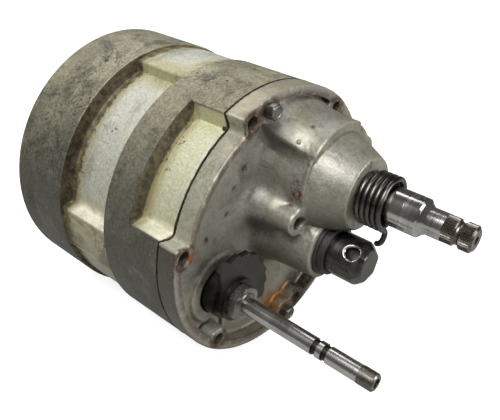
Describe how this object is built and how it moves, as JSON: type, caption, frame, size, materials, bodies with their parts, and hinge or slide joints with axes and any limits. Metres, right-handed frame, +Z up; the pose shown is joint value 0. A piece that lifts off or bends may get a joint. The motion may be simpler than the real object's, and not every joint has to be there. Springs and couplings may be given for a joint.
{
  "type": "drum gearbox",
  "caption": "Cylindrical drum-type gearbox with its outer cover off: pocketed cast casing, kick-start shaft with return spring, output coupling, selector ratchet sector and clutch push rod.",
  "frame": {"origin": "centre of the joint face that the outer cover screws onto, on the drum's axis", "axes": "+X along the drum's axis, out of the cover; +Z up as the drum lies in the picture; -Y towards the camera"},
  "size_m": [0.3109, 0.175, 0.175],
  "materials": {
    "shell_casting": "aged sand-cast aluminium with dull machined bands",
    "cover_casting": "oil-stained cast aluminium",
    "gasket": "black, squeezed out unevenly",
    "fastener_steel": "plated steel, dull and lightly rusted",
    "bearing_steel": "ground",
    "ball_steel": "polished",
    "seal_rubber": "moulded",
    "bronze": "machined bronze",
    "spring_steel": "blackened, oily",
    "shaft_steel": "turned",
    "gear_steel": "hardened, oiled",
    "dark_steel": "blackened, oily",
    "fork_steel": "forged",
    "polished_steel": "ground and polished"
  },
  "bodies": {
    "casing": {"gearbox_shell": "shell_casting", "inner_cover": "cover_casting", "cover_gasket": "gasket", "cover_bolts": "fastener_steel", "cover_dowels": "fastener_steel", "input_bearing_outer": "bearing_steel", "input_bearing_balls": "ball_steel", "input_oil_seal": "seal_rubber", "output_rear_bearing_outer": "bearing_steel", "output_rear_bearing_balls": "ball_steel", "output_front_bearing_outer": "bearing_steel", "output_front_bearing_balls": "ball_steel", "output_oil_seal": "seal_rubber", "kickstart_bush": "bronze", "kickstart_return_spring": "spring_steel"},
    "input": {"input_shaft": "shaft_steel", "input_bearing_inner": "bearing_steel", "input_first_gear": "gear_steel", "input_washer": "dark_steel", "input_nut": "fastener_steel"},
    "input_second": {"input_second_gear": "gear_steel", "input_second_bush": "bronze"},
    "input_third": {"input_third_gear": "gear_steel"},
    "input_fourth": {"input_fourth_gear": "gear_steel", "input_fourth_bush": "bronze"},
    "output": {"output_shaft": "shaft_steel", "output_rear_bearing_inner": "bearing_steel", "output_front_bearing_inner": "bearing_steel", "output_fourth_gear": "gear_steel", "output_spacer": "shaft_steel", "output_coupling": "dark_steel"},
    "output_first": {"output_first_gear": "gear_steel", "output_first_bush": "bronze"},
    "output_second": {"output_second_gear": "gear_steel"},
    "output_third": {"output_third_gear": "gear_steel", "output_third_bush": "bronze"},
    "selector_sleeve_body": {"ratchet_sector": "dark_steel", "selector_sleeve": "dark_steel", "sleeve_bush": "bronze"},
    "selector_drum_body": {"selector_drum": "gear_steel", "selector_drum_gear": "gear_steel"},
    "output_fork_body": {"output_fork": "fork_steel", "output_fork_pin": "shaft_steel"},
    "input_fork_body": {"input_fork": "fork_steel", "input_fork_pin": "shaft_steel"},
    "kickstart": {"kickstart_shaft": "polished_steel", "kickstart_gear": "gear_steel", "kickstart_circlip": "spring_steel"},
    "kickstart_pinion_body": {"kickstart_pinion": "gear_steel"},
    "push_rod": {"clutch_push_rod": "polished_steel"}
  },
  "joints": [
    {"name": "input_spin", "type": "hinge", "parent": "casing", "child": "input", "pos_m": [-0.1, -0.04546, -0.02788], "axis": [1, 0, 0], "continuous": true},
    {"name": "output_spin", "type": "hinge", "parent": "casing", "child": "output", "pos_m": [-0.1, 0.0096, -0.0074], "axis": [1, 0, 0], "continuous": true},
    {"name": "output_first_spin", "type": "hinge", "parent": "casing", "child": "output_first", "pos_m": [-0.05, 0.0096, -0.0074], "axis": [1, 0, 0], "continuous": true},
    {"name": "output_third_spin", "type": "hinge", "parent": "casing", "child": "output_third", "pos_m": [-0.1, 0.0096, -0.0074], "axis": [1, 0, 0], "continuous": true},
    {"name": "input_second_spin", "type": "hinge", "parent": "casing", "child": "input_second", "pos_m": [-0.071, -0.04546, -0.02788], "axis": [1, 0, 0], "continuous": true},
    {"name": "input_fourth_spin", "type": "hinge", "parent": "casing", "child": "input_fourth", "pos_m": [-0.121, -0.04546, -0.02788], "axis": [1, 0, 0], "continuous": true},
    {"name": "output_fork_slide", "type": "slide", "parent": "casing", "child": "output_fork_body", "axis": [1, 0, 0], "range_m": [-0.0012, 0.0012]},
    {"name": "input_fork_slide", "type": "slide", "parent": "casing", "child": "input_fork_body", "axis": [1, 0, 0], "range_m": [-0.0012, 0.0012]},
    {"name": "output_second_slide", "type": "slide", "parent": "output", "child": "output_second", "axis": [1, 0, 0], "range_m": [-0.0012, 0.0012]},
    {"name": "input_third_slide", "type": "slide", "parent": "input", "child": "input_third", "axis": [1, 0, 0], "range_m": [-0.0012, 0.0012]},
    {"name": "sector_turn", "type": "hinge", "parent": "casing", "child": "selector_sleeve_body", "pos_m": [0.004, -0.04546, -0.02788], "axis": [1, 0, 0], "range_deg": [-30, 30]},
    {"name": "selector_drum_turn", "type": "hinge", "parent": "casing", "child": "selector_drum_body", "pos_m": [-0.08, -0.01639, -0.05819], "axis": [1, 0, 0], "range_deg": [-40, 40]},
    {"name": "kickstart_turn", "type": "hinge", "parent": "casing", "child": "kickstart", "pos_m": [0.04, 0.02243, 0.03049], "axis": [1, 0, 0], "range_deg": [0, 75], "stiffness_Nm_per_rad": 0.8, "springref_deg": -34.38},
    {"name": "kickstart_pinion_turn", "type": "hinge", "parent": "casing", "child": "kickstart_pinion_body", "pos_m": [0, 0.0096, -0.0074], "axis": [1, 0, 0], "range_deg": [-139.3, 0]},
    {"name": "push_rod_slide", "type": "slide", "parent": "casing", "child": "push_rod", "axis": [1, 0, 0], "range_m": [-0.01, 0.05]}
  ],
  "couplings": [
    {"joint": "output_first_spin", "follows": "input_spin", "ratio": -0.38235},
    {"joint": "output_third_spin", "follows": "input_spin", "ratio": -0.62069},
    {"joint": "input_second_spin", "follows": "output_spin", "ratio": -1.9375},
    {"joint": "input_fourth_spin", "follows": "output_spin", "ratio": -1.35},
    {"joint": "output_second_slide", "follows": "output_fork_slide", "ratio": 1},
    {"joint": "input_third_slide", "follows": "input_fork_slide", "ratio": 1},
    {"joint": "selector_drum_turn", "follows": "sector_turn", "ratio": -1.3333},
    {"joint": "kickstart_pinion_turn", "follows": "kickstart_turn", "ratio": -1.8571}
  ]
}
